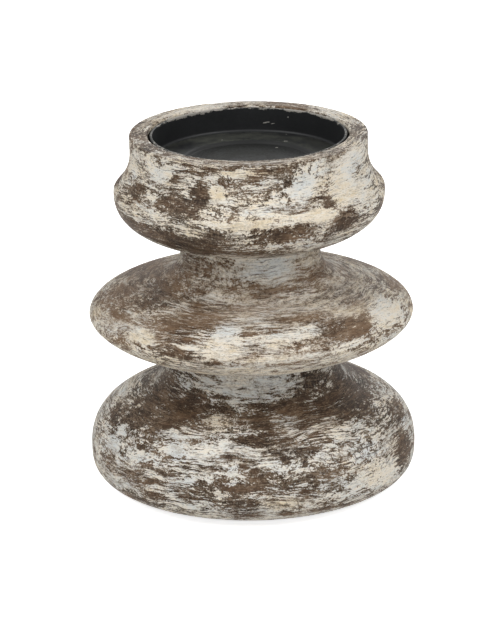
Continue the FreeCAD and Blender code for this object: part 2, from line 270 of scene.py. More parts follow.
def base_outline():
    foot_radius = BASE_RADIUS - FOOT_SETBACK
    flat_end = (foot_radius - FOOT_FLAT_INSET, FOOT)
    pocket_top = FOOT + POCKET_DEPTH
    outline = Outline()
    outline.walk([(ROD_BORE, pocket_top), (POCKET_RADIUS, pocket_top)], HIDDEN_STEP, 1.0)
    outline.walk_corners([(POCKET_RADIUS, pocket_top), (POCKET_RADIUS, FOOT), flat_end], STRAIGHT_STEP, 1.0)
    # The foot's flat eases into the flank, which it meets a few points on
    lower = flank(BASE_LOWER_FLANK, BASE_RADIUS, BASE_WIDEST, -BASE_DROP, foot_radius)[-5::-1]
    outline.walk([flat_end, (foot_radius - FOOT_EASE_INSET, FOOT + FOOT_EASE_LIFT), lower[0]])
    outline.walk(lower)
    rising = flank(BASE_UPPER_FLANK, BASE_RADIUS, BASE_WIDEST, BASE_RISE, LOWER_NECK)
    outline.walk(cove_to_neck(rising, LOWER_NECK, LOWER_COVE))
    outline.walk([outline.points[-1], (LOWER_NECK, DISC_SEAT)])
    outline.walk(spigot_work(LOWER_NECK, LOWER_SPIGOT, DISC_SEAT, LOWER_SPIGOT_TOP), HIDDEN_STEP, 1.0)
    outline.corners = [((foot_radius, FOOT), 2 * MM), ((BASE_RADIUS, BASE_WIDEST), 5 * MM)]
    return outline


def disc_outline():
    outline = Outline()
    outline.walk(socket_work(LOWER_NECK, LOWER_SPIGOT, DISC_SEAT, LOWER_SPIGOT_TOP), HIDDEN_STEP, 1.0)
    lower = underside(DISC_LOWER_FLANK, DISC_RADIUS, DISC_DROP, LOWER_NECK, DISC_SEAT)
    outline.walk(lower)
    widest = lower[-1][1]
    rising = flank(DISC_UPPER_FLANK, DISC_RADIUS, widest, DISC_RISE, UPPER_NECK)
    outline.walk(cove_to_neck(rising, UPPER_NECK, UPPER_COVE))
    outline.walk([outline.points[-1], (UPPER_NECK, BOWL_SEAT)])
    outline.walk(spigot_work(UPPER_NECK, UPPER_SPIGOT, BOWL_SEAT, UPPER_SPIGOT_TOP), HIDDEN_STEP, 1.0)
    outline.corners = [((DISC_RADIUS, widest), 4 * MM)]
    return outline


def bowl_outline():
    outline = Outline()
    outline.walk(socket_work(UPPER_NECK, UPPER_SPIGOT, BOWL_SEAT, UPPER_SPIGOT_TOP), HIDDEN_STEP, 1.0)
    lower = underside(BOWL_LOWER_FLANK, BOWL_RADIUS, BOWL_DROP, UPPER_NECK, BOWL_SEAT)
    outline.walk(lower)
    widest = lower[-1][1]
    rim_radius = BOWL_RADIUS - SHOULDER_OVERHANG
    turn = numpy.linspace(0, SHOULDER_SLOPE, 20)
    shoulder = numpy.column_stack((numpy.cos(turn), numpy.sin(turn))) * SHOULDER_ROUND
    shoulder += (BOWL_RADIUS - SHOULDER_ROUND, widest)
    slope_end = shoulder[-1] + (
        -SHOULDER_STRAIGHT * math.sin(SHOULDER_SLOPE), SHOULDER_STRAIGHT * math.cos(SHOULDER_SLOPE)
    )
    cove = (slope_end[0] - rim_radius) / (1 - math.cos(SHOULDER_SLOPE))
    turn = numpy.linspace(SHOULDER_SLOPE, 0, 40)
    concave = numpy.column_stack((1 - numpy.cos(turn), -numpy.sin(turn))) * cove
    concave += (rim_radius, slope_end[1] + cove * math.sin(SHOULDER_SLOPE))
    outline.walk(numpy.vstack((shoulder, concave)))
    recess_radius = rim_radius - RIM_WALL
    rim_end = (recess_radius, RIM - WASHED_LIP)
    rim = [concave[-1], (rim_radius, RIM), (recess_radius, RIM), rim_end]
    outline.walk(eased(rim, (RIM_ROUND, RIM_ROUND)), RIM_STEP)
    outline.walk([rim_end, (recess_radius, DISH_BOTTOM)], STRAIGHT_STEP, 0.9)
    pocket_bottom = DISH_BOTTOM - POCKET_DEPTH
    outline.walk_corners([
        (recess_radius, DISH_BOTTOM), (POCKET_RADIUS, DISH_BOTTOM), (POCKET_RADIUS, pocket_bottom),
        (ROD_BORE, pocket_bottom),
    ], HIDDEN_STEP, 1.0)
    outline.corners = [
        ((rim_radius, RIM), 1.5 * MM),
        ((recess_radius, RIM), 1.5 * MM),
        ((BOWL_RADIUS, widest), 3 * MM),
    ]
    return outline


def dish_outline():
    """A pan of bent sheet: its underside is its inside moved out by the sheet's thickness."""
    inner = DISH_RADIUS - DISH_WALL
    floor = DISH_BOTTOM + DISH_WALL
    ledge = floor + DISH_STEP
    step_top = inner - DISH_LEDGE_WIDTH
    step_foot = step_top - DISH_STEP
    shift = DISH_WALL * math.tan(math.pi / 8)
    tight, wide = DISH_STEP_ROUND, DISH_STEP_ROUND + DISH_WALL
    corners = [
        ((0, DISH_BOTTOM), 0),
        ((step_foot + shift, DISH_BOTTOM), wide),
        ((step_top + shift, ledge - DISH_WALL), tight),
        ((DISH_RADIUS, ledge - DISH_WALL), DISH_CORNER + DISH_WALL),
        ((DISH_RADIUS, DISH_TOP), DISH_LIP_ROUND),
        ((inner, DISH_TOP), DISH_LIP_ROUND),
        ((inner, ledge), DISH_CORNER),
        ((step_top, ledge), wide),
        ((step_foot, floor), tight),
        ((0, floor), 0),
    ]
    outline = Outline()
    path = eased([place for place, _ in corners], [radius for _, radius in corners[1:-1]])
    outline.walk_corners(path, STRAIGHT_STEP)
    outline.corners = [((inner, DISH_TOP), 1.4 * MM), ((DISH_RADIUS, DISH_TOP), 1 * MM)]
    return outline


# ---------------------------------------------------------------- geometry trees


def new_tree(name, numbers, counts=()):
    """A geometry tree that takes a geometry, a finish, and numbers and counts by name. Returns it with the
    outputs of its input node."""
    tree = bpy.data.node_groups.new(name, "GeometryNodeTree")
    inputs = [("Geometry", "Geometry"), ("Finish", "Material")]
    inputs += [(title, "Float") for title in numbers] + [(title, "Int") for title in counts]
    for title, kind in inputs:
        tree.interface.new_socket(title, in_out="INPUT", socket_type="NodeSocket" + kind)
    tree.interface.new_socket("Geometry", in_out="OUTPUT", socket_type="NodeSocketGeometry")
    return tree, tree.nodes.new("NodeGroupInput").outputs


def end_tree(tree, geometry, finish):
    whole = add(tree, "GeometryNodeRealizeInstances", {"Geometry": geometry})
    coated = add(tree, "GeometryNodeSetMaterial", {"Geometry": whole, "Material": finish})
    add(tree, "NodeGroupOutput", {"Geometry": coated})
    return tree


def mottle(tree, place, layers, seed):
    """Noise of several grain sizes added up, about 0. A layer is its size round the turning and along the
    outline, in mm, and its weight."""
    total = -0.5 * sum(weight for _, _, weight in layers)
    for number, (around, along, weight) in enumerate(layers):
        scale = (1 / (around * MM), 1 / (around * MM), 1 / (along * MM))
        start = (seed + 5.3 * number, 2.7 * number - seed, 1.9 * seed)
        scaled = add(tree, VECTOR_MATH, {"operation": "MULTIPLY_ADD", 0: place, 1: scale, 2: start})
        noise = add(tree, "ShaderNodeTexNoise", {
            "Vector": scaled, "Scale": 1.0, "Detail": 2.0, "Roughness": 0.6,
        })
        total = add(tree, MATH, {"operation": "MULTIPLY_ADD", 0: noise, 1: weight, 2: total})
    return total


def patchy(tree, place, layers, seed, low, high, most=1.0):
    """How far a mottle has risen smoothly from a low to a high level, up to the most there may be."""
    return add(tree, MAP_RANGE, {
        "interpolation_type": "SMOOTHSTEP", "Value": mottle(tree, place, layers, seed),
        "From Min": low, "From Max": high, "To Max": most,
    })


def pushed(tree, geometry, distance):
    """The geometry with each point moved along its normal."""
    normal = tree.nodes.new("GeometryNodeInputNormal")
    push = add(tree, VECTOR_MATH, {"operation": "SCALE", 0: normal, "Scale": distance})
    return add(tree, "GeometryNodeSetPosition", {"Geometry": geometry, "Offset": push})


def lathe_tree():
    """Turns an outline into a solid of revolution: a grid of facets by outline points, wrapped round."""
    tree, given = new_tree("lathe", [], ["Facets", "Closed"])
    outline = given["Geometry"]
    count = add(tree, "GeometryNodeAttributeDomainSize", {"Geometry": outline}).outputs["Point Count"]
    rows = add(tree, MATH, {"operation": "ADD", 0: count, 1: given["Closed"]})
    columns = add(tree, MATH, {"operation": "ADD", 0: given["Facets"], 1: 1.0})
    grid = add(tree, "GeometryNodeMeshGrid", {"Vertices X": columns, "Vertices Y": rows})
    index = tree.nodes.new("GeometryNodeInputIndex")
    columns_gone = add(tree, MATH, {"operation": "DIVIDE", 0: index, 1: rows})
    column = add(tree, MATH, {"operation": "FLOOR", 0: columns_gone})
    wrapped = add(tree, MATH, {"operation": "MODULO", 0: index, 1: rows})
    row = add(tree, MATH, {"operation": "MODULO", 0: wrapped, 1: count})
    spot = add(tree, "GeometryNodeSampleIndex", {
        "data_type": "FLOAT_VECTOR", "Geometry": outline,
        "Value": tree.nodes.new("GeometryNodeInputPosition"), "Index": row,
    })
    parts = add(tree, SEPARATE, {"Vector": spot})
    turns = add(tree, MATH, {"operation": "DIVIDE", 0: column, 1: given["Facets"]})
    angle = add(tree, MATH, {"operation": "MULTIPLY", 0: turns, 1: math.tau})
    turned = {"Z": parts.outputs["Z"]}
    for axis, operation in (("X", "SINE"), ("Y", "COSINE")):
        share = add(tree, MATH, {"operation": operation, 0: angle})
        turned[axis] = add(tree, MATH, {"operation": "MULTIPLY", 0: parts.outputs["X"], 1: share})
    solid = add(tree, "GeometryNodeSetPosition", {"Geometry": grid, "Position": add(tree, COMBINE, turned)})
    for title in ("along", "bare", "edge"):
        carried = add(tree, "GeometryNodeSampleIndex", {
            "data_type": "FLOAT", "Geometry": outline, "Index": row,
            "Value": add(tree, "GeometryNodeInputNamedAttribute", {"data_type": "FLOAT", "Name": title}),
        })
        solid = add(tree, "GeometryNodeStoreNamedAttribute", {
            "data_type": "FLOAT", "domain": "POINT", "Geometry": solid, "Name": title, "Value": carried,
        })
    closed = add(tree, "GeometryNodeMergeByDistance", {"Geometry": solid, "Distance": 0.001 * MM})
    outward = add(tree, "GeometryNodeFlipFaces", {"Mesh": closed})
    smooth = add(tree, "GeometryNodeSetShadeSmooth", {"Geometry": outward})
    return end_tree(tree, smooth, given["Finish"])


def hand_work_tree():
    """What a turner's hands leave: a shape a little out of true, tool rings, lumps of wash and nicked edges.
    It only ever cuts inwards, so the piece stays inside its solid."""
    tree, given = new_tree("hand_work", ["Out of true", "Ring depth", "Lump depth", "Nick depth"])
    position = add(tree, SEPARATE, {"Vector": tree.nodes.new("GeometryNodeInputPosition")})
    along, bare, edge = (
        add(tree, "GeometryNodeInputNamedAttribute", {"data_type": "FLOAT", "Name": title})
        for title in ("along", "bare", "edge")
    )
    place = add(tree, COMBINE, {"X": position.outputs["X"], "Y": position.outputs["Y"], "Z": along})
    cuts = [
        (given["Out of true"], mottle(tree, place, [(70, 60, 1.6)], 1.0)),
        (given["Ring depth"], mottle(tree, place, [(60, 2.4, 2.0)], 2.0)),
        (given["Lump depth"], mottle(tree, place, [(7, 3, 1.2), (2.5, 1.5, 1.0)], 3.0)),
    ]
    depth = 0.0
    for amount, pattern in cuts:
        inward = add(tree, MAP_RANGE, {"Value": pattern, "From Min": -0.7, "From Max": 0.5})
        depth = add(tree, MATH, {"operation": "MULTIPLY_ADD", 0: inward, 1: amount, 2: depth})
    chip = patchy(tree, place, [(5, 4, 1.6), (2, 2, 0.6)], 4.0, 0.12, 0.4)
    nick = add(tree, MATH, {"operation": "MULTIPLY", 0: chip, 1: edge})
    depth = add(tree, MATH, {"operation": "MULTIPLY_ADD", 0: nick, 1: given["Nick depth"], 2: depth})
    inward_share = add(tree, MATH, {"operation": "SUBTRACT", 0: bare, 1: 1.0})
    inwards = add(tree, MATH, {"operation": "MULTIPLY", 0: depth, 1: inward_share})
    return end_tree(tree, pushed(tree, given["Geometry"], inwards), given["Finish"])


def thread_tree():
    """Cuts a screw thread into both ends of a rod that stands on the turning axis."""
    tree, given = new_tree("rod_thread", ["Pitch", "Depth", "Threaded length", "Bottom", "Top", "Radius"])
    place = add(tree, SEPARATE, {"Vector": tree.nodes.new("GeometryNodeInputPosition")})
    around = add(tree, MATH, {"operation": "ARCTAN2", 0: place.outputs["Y"], 1: place.outputs["X"]})
    turns = add(tree, MATH, {"operation": "DIVIDE", 0: around, 1: math.tau})
    climbed = add(tree, MATH, {"operation": "DIVIDE", 0: place.outputs["Z"], 1: given["Pitch"]})
    phase = add(tree, MATH, {"operation": "SUBTRACT", 0: climbed, 1: turns})
    wave = add(tree, MATH, {"operation": "PINGPONG", 0: phase, 1: 0.5})
    from_bottom = add(tree, MATH, {"operation": "SUBTRACT", 0: place.outputs["Z"], 1: given["Bottom"]})
    from_top = add(tree, MATH, {"operation": "SUBTRACT", 0: given["Top"], 1: place.outputs["Z"]})
    from_end = add(tree, MATH, {"operation": "MINIMUM", 0: from_bottom, 1: from_top})
    cut = add(tree, MATH, {"operation": "LESS_THAN", 0: from_end, 1: given["Threaded length"]})
    share = add(tree, MATH, {"operation": "DIVIDE", 0: given["Depth"], 1: given["Radius"]})
    # The wave runs from 0 to a half, so its double is the whole depth
    inwards = add(tree, MATH, {"operation": "MULTIPLY", 0: wave, 1: -2.0})
    for factor in (share, cut):
        inwards = add(tree, MATH, {"operation": "MULTIPLY", 0: inwards, 1: factor})
    outward = add(tree, COMBINE, {"X": place.outputs["X"], "Y": place.outputs["Y"]})
    push = add(tree, VECTOR_MATH, {"operation": "SCALE", 0: outward, "Scale": inwards})
    threaded = add(tree, "GeometryNodeSetPosition", {"Geometry": given["Geometry"], "Offset": push})
    return end_tree(tree, threaded, given["Finish"])


def pad_ring_tree():
    """Sets pads evenly on a circle and roughens their faces like felt, inwards only."""
    tree, given = new_tree("pad_ring", ["Ring radius", "First angle", "Nap depth"], ["Count"])
    ring = add(tree, "GeometryNodeMeshCircle", {"Vertices": given["Count"], "Radius": given["Ring radius"]})
    start = add(tree, COMBINE, {"Z": given["First angle"]})
    turned = add(tree, "GeometryNodeTransform", {"Geometry": ring, "Rotation": start})
    pads = add(tree, "GeometryNodeInstanceOnPoints", {"Points": turned, "Instance": given["Geometry"]})
    plain = add(tree, "GeometryNodeRealizeInstances", {"Geometry": pads})
    nap = mottle(tree, tree.nodes.new("GeometryNodeInputPosition"), [(1.2, 1.2, 1.0), (0.5, 0.5, 0.6)], 5.0)
    share = add(tree, MAP_RANGE, {"Value": nap, "From Min": -0.4, "From Max": 0.4, "To Max": -1.0})
    inwards = add(tree, MATH, {"operation": "MULTIPLY", 0: share, 1: given["Nap depth"]})
    return end_tree(tree, pushed(tree, plain, inwards), given["Finish"])


def flecks_tree():
    """Dried specks of wash: a small flattened blob at each point, turned to the surface there and torn."""
    tree, given = new_tree("wash_flecks", ["Tear"])
    blob = add(tree, "GeometryNodeMeshIcoSphere", {"Radius": 1.0, "Subdivisions": 3})
    facing = add(tree, "GeometryNodeInputNamedAttribute", {"data_type": "FLOAT_VECTOR", "Name": "facing"})
    size = add(tree, "GeometryNodeInputNamedAttribute", {"data_type": "FLOAT_VECTOR", "Name": "size"})
    turn = add(tree, "FunctionNodeAlignRotationToVector", {"axis": "Z", "Vector": facing})
    specks = add(tree, "GeometryNodeInstanceOnPoints", {
        "Points": given["Geometry"], "Instance": blob.outputs["Mesh"], "Rotation": turn, "Scale": size,
    })
    plain = add(tree, "GeometryNodeRealizeInstances", {"Geometry": specks})
    torn = mottle(tree, tree.nodes.new("GeometryNodeInputPosition"), [(0.8, 0.8, 1.0)], 6.0)
    outwards = add(tree, MATH, {"operation": "MULTIPLY", 0: torn, 1: given["Tear"]})
    return end_tree(tree, pushed(tree, plain, outwards), given["Finish"])


def made(name, mesh, finish, stages):
    """Runs a mesh through its stages, each a tree and its inputs by name, and keeps the plain result."""
    worked = bpy.data.objects.new(name + "_work", mesh)
    bpy.context.scene.collection.objects.link(worked)
    for tree, settings in stages:
        stage = worked.modifiers.new(tree.name, "NODES")
        stage.node_group = tree
        settings = {"Finish": finish, **settings}
        for item in tree.interface.items_tree:
            if item.in_out == "INPUT" and item.name in settings:
                stage[item.identifier] = settings[item.name]
    graph = bpy.context.evaluated_depsgraph_get()
    result = bpy.data.meshes.new_from_object(worked.evaluated_get(graph))
    result.name = name
    bpy.data.objects.remove(worked)
    piece = bpy.data.objects.new(name, result)
    bpy.context.scene.collection.objects.link(piece)
    return piece


# ---------------------------------------------------------------- finishes


def colour(code):
    """An sRGB hex colour as linear light."""
    channels = [int(code[place:place + 2], 16) / 255 for place in (1, 3, 5)]
    linear = [value / 12.92 if value <= 0.04045 else ((value + 0.055) / 1.055) ** 2.4 for value in channels]
    return (*linear, 1.0)


def new_finish(name):
    material = bpy.data.materials.new(name)
    material.use_nodes = True
    material.node_tree.nodes.clear()
    return material, material.node_tree


def dressed(tree, settings):
    """The finish's shader, linked to its output."""
    add(tree, "ShaderNodeOutputMaterial", {"Surface": add(tree, "ShaderNodeBsdfPrincipled", settings)})


def layered(tree, ground, coats):
    """Colours laid over one another. A coat is how much of it shows, and its colour."""
    for amount, over in coats:
        over = colour(over) if isinstance(over, str) else over
        ground = add(tree, "ShaderNodeMix", {"data_type": "RGBA", 0: amount, 6: ground, 7: over})
    return ground


def ramped(tree, pattern, stops):
    """The colours of a pattern about 0, from a ramp that has 0 at its middle."""
    place = add(tree, MATH, {"operation": "ADD", 0: pattern, 1: 0.5})
    return add(tree, "ShaderNodeValToRGB", {"Fac": place, "stops": stops})


def turned_place(tree):
    """Object coordinates with the length along the outline for height, so streaks follow the turning."""
    own = add(tree, SEPARATE, {"Vector": tree.nodes.new("ShaderNodeTexCoord").outputs["Object"]})
    along = add(tree, "ShaderNodeAttribute", {"attribute_name": "along"}).outputs["Fac"]
    return add(tree, COMBINE, {"X": own.outputs["X"], "Y": own.outputs["Y"], "Z": along})


def stained_wood(tree, place):
    """Colour of mango wood under a dark walnut stain. Its grain runs up the turning axis, so the sides show
    long pores and the level faces their ends."""
    own = tree.nodes.new("ShaderNodeTexCoord").outputs["Object"]
    depth = mottle(tree, place, [(32, 15, 1.3), (7, 1.8, 0.9), (2, 0.6, 0.9)], 11.0)
    paleness = add(tree, "ShaderNodeAttribute", {"attribute_name": "paleness"}).outputs["Fac"]
    tone = add(tree, MATH, {"operation": "ADD", 0: depth, 1: paleness})
    stain = add(tree, "ShaderNodeValToRGB", {
        "Fac": tone, "stops": [(0.15, "#221912"), (0.5, "#443427"), (0.85, "#705a46")],
    })
    pores = patchy(tree, own, [(0.7, 9, 1.0)], 12.0, 0.05, 0.2, 0.4)
    return layered(tree, stain, [(pores, "#8a7762")])


def whitewash_over_stained_wood():
    """Turned mango wood, stained dark, brushed with a matte white wash and worn back by rubbing.

    Matte, chalky and ragged: sheets of wash some centimetres long whose edges crumble into specks under a
    millimetre, dragged round the turning by the brush, a thin grey veil where it was wiped, and the stain
    showing between. The attributes say where it was worn back, left whole, brushed out soft or cracked, and
    where it is creamy or cool; the worn and soft rings round the tops and the foot are partly painted shade.
    """
    material, tree = new_finish("whitewash_over_stained_mango_wood")

    # The streaks wander off a true circle, by up to some millimetres
    still = turned_place(tree)
    wander = add(tree, "ShaderNodeTexNoise", {"Vector": still, "Scale": 1 / (28 * MM), "Detail": 2.0})
    place = add(tree, VECTOR_MATH, {
        "operation": "MULTIPLY_ADD", 0: wander.outputs["Color"], 1: (8 * MM, 8 * MM, 9 * MM), 2: still,
    })
    rubbed_and_shaded, tint, soft, bare, cracked = (
        add(tree, "ShaderNodeAttribute", {"attribute_name": title}).outputs["Fac"]
        for title in ("rubbed_and_shaded", "tint", "soft", "bare", "cracked")
    )
    stain = stained_wood(tree, place)

    # How much wash is left, about 0 at the edge of a sheet: torn in places, dragged by the brush in others
    torn = mottle(tree, place, [
        (20, 9, 0.4), (8, 4, 0.8), (3.2, 1.9, 0.9), (1.3, 0.8, 0.9), (0.6, 0.5, 0.8),
    ], 21.0)
    dragged = mottle(tree, place, [
        (24, 7, 0.4), (12, 2.2, 0.8), (6, 0.8, 0.95), (2.2, 0.5, 0.85), (0.7, 0.4, 0.7),
    ], 26.0)
    brushed = patchy(tree, place, [(30, 18, 1.0)], 16.0, -0.12, 0.1)
    left = add(tree, "ShaderNodeMix", {0: brushed, 2: torn, 3: dragged})
    # Rubbed patches take wash away, and so do the rings of painted shade on the tops and at the foot
    steered = add(tree, MATH, {"operation": "MULTIPLY_ADD", 0: rubbed_and_shaded, 1: -0.24, 2: left})
    left = add(tree, MATH, {"operation": "ADD", 0: steered, 1: 0.02})

    # How softly the wash was brushed out: it thickens the veil and weakens the dirt and the scratches.
    # Its rings round the disc's top and under the bowl thicken the veil as painted shade too
    crisp, softest = 0.03, 0.4
    brushed_out = add(tree, MATH, {
        "operation": "MULTIPLY_ADD", 0: soft, 1: 0.25, 2: mottle(tree, place, [(45, 20, 1.0)], 71.0),
    })
    softness = add(tree, MAP_RANGE, {
        "Value": brushed_out, "From Min": 0.0, "From Max": 0.35, "To Min": crisp, "To Max": softest,
    })
    thickest, dirtiest, deepest = (
        add(tree, MAP_RANGE, {
            "Value": softness, "From Min": crisp, "From Max": softest,
            "To Min": at_crisp, "To Max": at_softest,
        })
        for at_crisp, at_softest in ((0.42, 0.75), (0.62, 0.45), (0.8, 0.15))
    )
    veil = add(tree, MAP_RANGE, {
        "interpolation_type": "SMOOTHSTEP", "Value": left, "From Min": -0.24, "From Max": 0.02,
        "To Max": thickest,
    })
    sheet = add(tree, MAP_RANGE, {
        "interpolation_type": "SMOOTHSTEP", "Value": left, "From Max": softness,
        "From Min": add(tree, MATH, {"operation": "MULTIPLY", 0: softness, 1: -1.0}),
    })

    # The wash's own colours: cool white to cream, with fine dirt, and a haze on the stain where it wore thin
    drift = mottle(tree, place, [(20, 7, 0.8), (5, 1.2, 0.7), (1.5, 0.5, 0.6)], 31.0)
    warmth = add(tree, MATH, {"operation": "MULTIPLY_ADD", 0: tint, 1: 0.17, 2: drift})
    wash = ramped(tree, warmth, [(0.1, "#c9cdce"), (0.36, "#d3d3cf"), (0.62, "#e0d8ca"), (0.95, "#d4c3a4")])
    dirt = patchy(tree, place, [(12, 5, 0.6), (6, 0.6, 0.9), (0.9, 0.5, 1.0)], 36.0, 0.0, 0.24, dirtiest)
    wash = layered(tree, wash, [(dirt, "#9d9283")])
    haze = patchy(tree, place, [(18, 7, 0.8), (6, 0.8, 0.9), (1.2, 0.6, 0.9)], 46.0, 0.03, 0.22, 0.45)

    # Scratches of the rubbing, drawn out round the turning, and curled cracks where the wash dried thick.
    # The cracks are drawn about twice as wide as they are, so that they show
    scratch = patchy(tree, place, [(7, 0.42, 0.9), (1.8, 0.5, 0.5), (26, 9, 0.5)], 41.0, 0.13, 0.19, deepest)
    cells = add(tree, "ShaderNodeTexVoronoi", {
        "feature": "DISTANCE_TO_EDGE", "Vector": place, "Scale": 1 / (4 * MM),
    })
    broken = add(tree, MATH, {
        "operation": "MULTIPLY_ADD", 0: mottle(tree, place, [(3, 2, 1.0)], 43.0), 1: 0.35, 2: cells,
    })
    crack = add(tree, MAP_RANGE, {
        "interpolation_type": "SMOOTHSTEP", "Value": broken, "From Min": 0.08, "From Max": 0.02,
        "To Max": cracked,
    })
    lines = add(tree, MATH, {"operation": "MAXIMUM", 0: scratch, 1: crack})

    shown = layered(tree, stain, [
        (haze, "#978470"), (veil, "#9a8c7a"), (sheet, wash), (lines, "#4b4037"), (bare, stain),
    ])
    strokes = mottle(tree, place, [(2.5, 0.6, 0.6), (0.8, 0.5, 0.5)], 51.0)
    relief = add(tree, MATH, {"operation": "MULTIPLY_ADD", 0: sheet, 1: 0.5, 2: strokes})
    bump = add(tree, "ShaderNodeBump", {"Height": relief, "Strength": 0.6, "Distance": 0.3 * MM})
    roughness = add(tree, MAP_RANGE, {"Value": sheet, "To Min": 0.6, "To Max": 0.85})
    dressed(tree, {
        "Base Color": shown, "Roughness": roughness, "Normal": bump, "Specular IOR Level": 0.15,
    })
    return material


def black_enamel_on_steel():
    """Pressed steel under satin black stove enamel: near black, a soft broad highlight, grey with dust on
    its level faces, painted shade in its sunk middle, and a lip with white wash and a painted highlight."""
    material, tree = new_finish("satin_black_enamel_on_pressed_steel")
    place = turned_place(tree)
    edge, wiped = (
        add(tree, "ShaderNodeAttribute", {"attribute_name": title}).outputs["Fac"]
        for title in ("edge", "wiped")
    )
    marks = mottle(tree, place, [(14, 9, 0.5), (1.6, 1.2, 0.5)], 61.0)
    enamel = ramped(tree, marks, [(0.25, "#121314"), (0.8, "#1f2021")])

    # Dust lies on what is level, and the sunk middle, inside the step, is darkened with painted shade
    normal = add(tree, SEPARATE, {"Vector": tree.nodes.new("ShaderNodeNewGeometry").outputs["Normal"]})
    level = add(tree, MAP_RANGE, {
        "interpolation_type": "SMOOTHSTEP", "Value": normal.outputs["Z"], "From Min": 0.85, "From Max": 0.99,
    })
    settled = add(tree, MAP_RANGE, {
        "Value": mottle(tree, place, [(22, 22, 0.9), (6, 6, 0.7), (1.0, 1.0, 1.2)], 63.0),
        "From Min": -0.15, "From Max": 0.45,
    })
    dust = add(tree, MATH, {"operation": "MULTIPLY", 0: level, 1: settled})
    across = add(tree, VECTOR_MATH, {"operation": "MULTIPLY", 0: place, 1: (1.0, 1.0, 0.0)})
    inward = add(tree, VECTOR_MATH, {"operation": "LENGTH", 0: across}).outputs["Value"]
    step = DISH_RADIUS - DISH_WALL - DISH_LEDGE_WIDTH
    recess_shade_ramp = add(tree, MAP_RANGE, {
        "interpolation_type": "SMOOTHSTEP", "Value": inward, "From Min": step, "From Max": step - 12 * MM,
        "To Min": 0.9, "To Max": 0.6,
    })
    stepped = add(tree, MATH, {"operation": "LESS_THAN", 0: inward, 1: step})
    recess_shade = add(tree, MATH, {"operation": "MULTIPLY", 0: recess_shade_ramp, 1: stepped})

    # Wash on the lip, most of all where the brush wiped over it; along the lip it is partly a painted
    # highlight
    dabs = mottle(tree, place, [(16, 6, 0.9), (3, 1, 0.8), (0.9, 0.6, 0.5)], 64.0)
    lip_wash_and_highlight = add(tree, MATH, {"operation": "MULTIPLY_ADD", 0: edge, 1: 0.52, 2: dabs})
    lip_wash_and_highlight = add(tree, MATH, {"operation": "MULTIPLY_ADD", 0: wiped, 1: 0.4, 2: lip_wash_and_highlight})
    lip_wash_and_highlight_shown = add(tree, MAP_RANGE, {
        "interpolation_type": "SMOOTHSTEP", "Value": lip_wash_and_highlight, "From Min": 0.5, "From Max": 0.62, "To Max": 0.6,
    })
    # Over the enamel: dust, painted shade in the sunk middle, and the lip's wash with its painted highlight
    shown = layered(tree, enamel, [(dust, "#454640"), (recess_shade, "#0e0f0e"), (lip_wash_and_highlight_shown, "#b9b4ab")])
    gloss = add(tree, MAP_RANGE, {"Value": dust, "To Min": 0.48, "To Max": 0.8})
    shine = add(tree, MAP_RANGE, {"Value": level, "To Min": 0.24, "To Max": 0.1})
    grain = mottle(tree, place, [(0.8, 0.8, 1.0)], 62.0)
    bump = add(tree, "ShaderNodeBump", {"Height": grain, "Strength": 0.15, "Distance": 0.05 * MM})
    dressed(tree, {"Base Color": shown, "Roughness": gloss, "Normal": bump, "Specular IOR Level": shine})
    return material


def zinc_plated_steel():
    """Turned and pressed steel with bright zinc plate: a cool grey metal, faintly cloudy, with fine rubs."""
    material, tree = new_finish("zinc_plate_on_steel")
    own = tree.nodes.new("ShaderNodeTexCoord").outputs["Object"]
    cloud = mottle(tree, own, [(6, 6, 0.8), (1.2, 1.2, 0.6)], 71.0)
    plate = ramped(tree, cloud, [(0.25, "#8e9090"), (0.8, "#c3c6c7")])
    rubs = mottle(tree, own, [(0.3, 6, 1.0), (5, 0.3, 0.6)], 72.0)
    gloss = add(tree, MAP_RANGE, {
        "Value": rubs, "From Min": -0.4, "From Max": 0.4, "To Min": 0.25, "To Max": 0.5,
    })
    bump = add(tree, "ShaderNodeBump", {"Height": rubs, "Strength": 0.1, "Distance": 0.05 * MM})
    dressed(tree, {"Base Color": plate, "Metallic": 1.0, "Roughness": gloss, "Normal": bump})
    return material


def brown_wool_felt():
    """Pressed wool felt: matte dark brown fibres, lying every way, with a soft sheen at grazing angles.
    The fibres are drawn a few times their real width, so that they show."""
    material, tree = new_finish("pressed_brown_wool_felt")
    own = tree.nodes.new("ShaderNodeTexCoord").outputs["Object"]
    fibres = mottle(tree, own, [(0.35, 3, 0.7), (3, 0.35, 0.7), (0.5, 0.5, 0.6)], 81.0)
    wool = ramped(tree, fibres, [(0.2, "#2b2320"), (0.8, "#5c4c41")])
    bump = add(tree, "ShaderNodeBump", {"Height": fibres, "Strength": 0.8, "Distance": 0.3 * MM})
    dressed(tree, {"Base Color": wool, "Roughness": 0.95, "Sheen Weight": 0.4, "Normal": bump})
    return material


def dried_wash():
    """A speck of dried white wash: chalky off-white with grey in its hollows."""
    material, tree = new_finish("dried_specks_of_whitewash")
    own = tree.nodes.new("ShaderNodeTexCoord").outputs["Object"]
    grit = mottle(tree, own, [(0.8, 0.8, 1.0), (0.3, 0.3, 0.5)], 91.0)
    chalk = ramped(tree, grit, [(0.3, "#5f5e59"), (0.7, "#9c9a94")])
    bump = add(tree, "ShaderNodeBump", {"Height": grit, "Strength": 0.5, "Distance": 0.1 * MM})
    dressed(tree, {"Base Color": chalk, "Roughness": 0.9, "Normal": bump})
    return material
